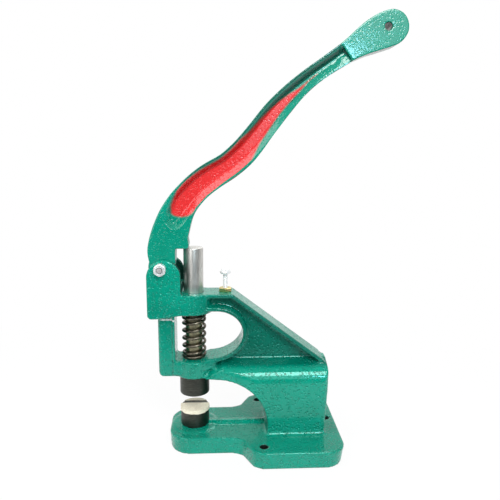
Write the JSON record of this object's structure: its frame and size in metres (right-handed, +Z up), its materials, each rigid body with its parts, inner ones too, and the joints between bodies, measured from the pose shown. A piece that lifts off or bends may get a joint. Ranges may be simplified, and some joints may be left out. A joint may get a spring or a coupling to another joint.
{
  "type": "snap button press",
  "caption": "Bench hand press for snap buttons: cast frame with an open throat, curved lever that turns in two ears, sprung round ram with a die holder, round anvil under tape.",
  "frame": {"origin": "on the table, on the base's underside, directly under the ram's axis", "axes": "+X from the ram towards the rear column, +Y to the far side (away from the pivot bolt's nut), +Z up, along the ram"},
  "size_m": [0.2001, 0.1, 0.3484],
  "materials": {
    "green_casting": "glossy green hammered paint on an iron casting",
    "green_lever": "glossy green hammered paint on an iron casting, the channel partly red",
    "bush_steel": "turned steel, plain",
    "zinc_steel": "bright zinc plated steel",
    "ram_steel": "ground steel with a faint turned grain",
    "black_steel": "black oxide on turned steel",
    "spring_steel": "dark oiled spring wire",
    "masking_tape": "matt creped paper tape",
    "brass_nut": "plain machined brass"
  },
  "bodies": {
    "frame": {"cast_frame": "green_casting", "pivot_bolt": "zinc_steel", "pivot_washer": "zinc_steel", "pivot_nut": "zinc_steel", "anvil": "black_steel", "anvil_screw": "zinc_steel", "tape_front": "masking_tape", "tape_rear": "masking_tape", "stop_screw": "zinc_steel", "stop_screw_nut": "brass_nut", "return_spring": "spring_steel"},
    "lever": {"handle": "green_lever", "handle_bush": "bush_steel"},
    "ram_group": {"ram": "ram_steel", "ram_head": "black_steel", "head_grub_screw": "black_steel", "spring_collar": "bush_steel", "collar_ring": "black_steel"}
  },
  "joints": [
    {"name": "lever_hinge", "type": "hinge", "parent": "frame", "child": "lever", "pos_m": [-0.025, 0, 0.1526], "axis": [0, 1, 0], "range_deg": [0, 30]},
    {"name": "ram_slide", "type": "slide", "parent": "frame", "child": "ram_group", "axis": [0, 0, -1], "range_m": [0, 0.01216], "stiffness_N_per_m": 13000, "springref_m": -0.004, "deforming": ["return_spring"]}
  ],
  "couplings": [
    {"joint": "ram_slide", "follows": "lever_hinge", "m_per_rad": 0.02322}
  ]
}
